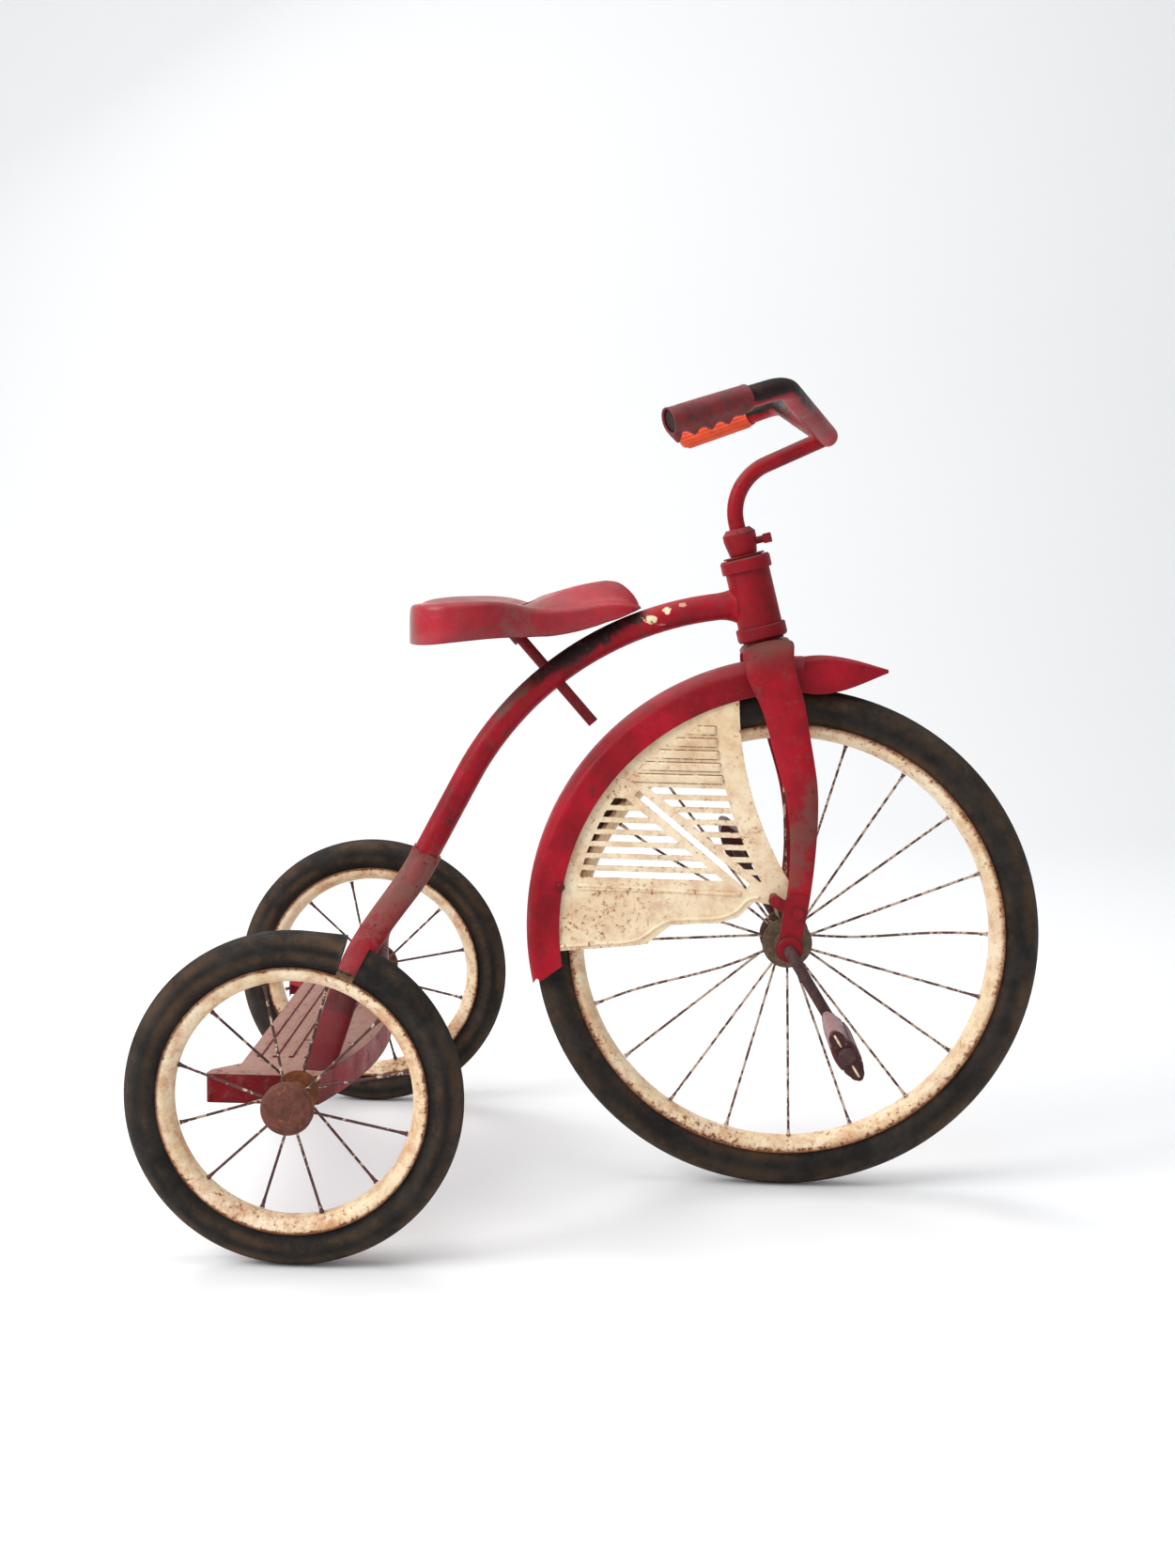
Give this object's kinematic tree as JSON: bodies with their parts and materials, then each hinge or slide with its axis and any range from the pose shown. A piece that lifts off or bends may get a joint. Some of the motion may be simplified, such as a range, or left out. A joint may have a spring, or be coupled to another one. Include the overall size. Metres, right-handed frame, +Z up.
{
  "type": "tricycle",
  "caption": "Children's tricycle with a pedal-driven spoked front wheel, curved steel backbone, fender, sheet-metal saddle, rear step plate and spoked rear wheels.",
  "frame": {"origin": "on the floor, at the centre of the bounding box", "axes": "+X forward (direction of travel), +Y to the rider's left, +Z up"},
  "size_m": [0.8596, 0.6236, 0.8037],
  "materials": {
    "red_frame": "worn red paint over steel",
    "cream_paint": "cream paint with rust specks",
    "red_fender": "faded red paint",
    "seat_paint": "worn red paint",
    "bar_metal": "dark worn paint and rust",
    "rusty_steel": "rusted steel",
    "worn_steel": "dull worn steel",
    "tyre_rubber": "aged black rubber with dirt",
    "pedal_rubber": "aged dark red rubber",
    "red_grip": "dark red ribbed rubber",
    "orange_grip": "orange ribbed rubber"
  },
  "bodies": {
    "frame": {"backbone_tube": "red_frame", "head_tube": "red_frame", "upper_head_cup": "red_frame", "lower_head_cup": "red_frame", "upper_head_balls": "worn_steel", "lower_head_balls": "worn_steel", "step_plate": "red_frame", "right_rear_leg": "red_frame", "left_rear_leg": "red_frame", "rear_axle": "rusty_steel", "axle_collars": "rusty_steel", "right_axle_nut": "rusty_steel", "left_axle_nut": "rusty_steel", "seat_set_screw": "worn_steel"},
    "fork": {"fork": "red_frame", "steerer_tube": "red_frame", "stem_collar": "worn_steel", "stem_clamp_bolt": "worn_steel", "lower_head_cone": "worn_steel", "upper_head_cone": "worn_steel", "right_axle_bracket": "worn_steel", "left_axle_bracket": "worn_steel", "right_bracket_bolt": "worn_steel", "left_bracket_bolt": "worn_steel", "front_fender": "red_fender", "fender_screw": "worn_steel", "fender_bolt": "worn_steel", "fender_guard": "cream_paint", "guard_bolt": "worn_steel"},
    "handlebar": {"gooseneck": "bar_metal", "handlebar": "bar_metal", "right_grip": "red_grip", "left_grip": "orange_grip"},
    "seat": {"seat_pan": "seat_paint", "seat_post": "worn_steel", "seat_bracket": "worn_steel", "seat_bolt": "worn_steel"},
    "front_wheel": {"front_tyre": "tyre_rubber", "front_rim": "cream_paint", "front_spokes": "rusty_steel", "front_hub": "rusty_steel", "crank_axle": "rusty_steel", "right_pedal_nut": "rusty_steel", "left_pedal_nut": "rusty_steel"},
    "right_pedal": {"right_pedal_rubber": "pedal_rubber", "right_pedal_frame": "rusty_steel"},
    "left_pedal": {"left_pedal_rubber": "pedal_rubber", "left_pedal_frame": "rusty_steel"},
    "right_rear_wheel": {"right_rear_tyre": "tyre_rubber", "right_rear_rim": "cream_paint", "right_rear_spokes": "rusty_steel", "right_rear_hub": "rusty_steel", "right_hubcap": "rusty_steel"},
    "left_rear_wheel": {"left_rear_tyre": "tyre_rubber", "left_rear_rim": "cream_paint", "left_rear_spokes": "rusty_steel", "left_rear_hub": "rusty_steel", "left_hubcap": "rusty_steel"}
  },
  "joints": [
    {"name": "steering", "type": "hinge", "parent": "frame", "child": "fork", "pos_m": [0.14435, 0, 0.5588], "axis": [-0.2538, 0, 0.9673], "continuous": true},
    {"name": "handlebar_height", "type": "slide", "parent": "fork", "child": "handlebar", "axis": [-0.2538, 0, 0.9673], "range_m": [0, 0.03]},
    {"name": "seat_height", "type": "slide", "parent": "frame", "child": "seat", "axis": [-0.6656, 0, 0.7463], "range_m": [0, 0.04]},
    {"name": "front_wheel_spin", "type": "hinge", "parent": "fork", "child": "front_wheel", "pos_m": [0.17585, 0, 0.254], "axis": [0, 1, 0], "continuous": true},
    {"name": "right_pedal_spin", "type": "hinge", "parent": "front_wheel", "child": "right_pedal", "pos_m": [0.22354, -0.132, 0.17768], "axis": [0, 1, 0], "continuous": true},
    {"name": "left_pedal_spin", "type": "hinge", "parent": "front_wheel", "child": "left_pedal", "pos_m": [0.12816, 0.132, 0.33032], "axis": [0, 1, 0], "continuous": true},
    {"name": "right_rear_wheel_spin", "type": "hinge", "parent": "frame", "child": "right_rear_wheel", "pos_m": [-0.27745, -0.2736, 0.1524], "axis": [0, 1, 0], "continuous": true},
    {"name": "left_rear_wheel_spin", "type": "hinge", "parent": "frame", "child": "left_rear_wheel", "pos_m": [-0.27745, 0.2736, 0.1524], "axis": [0, 1, 0], "continuous": true}
  ]
}
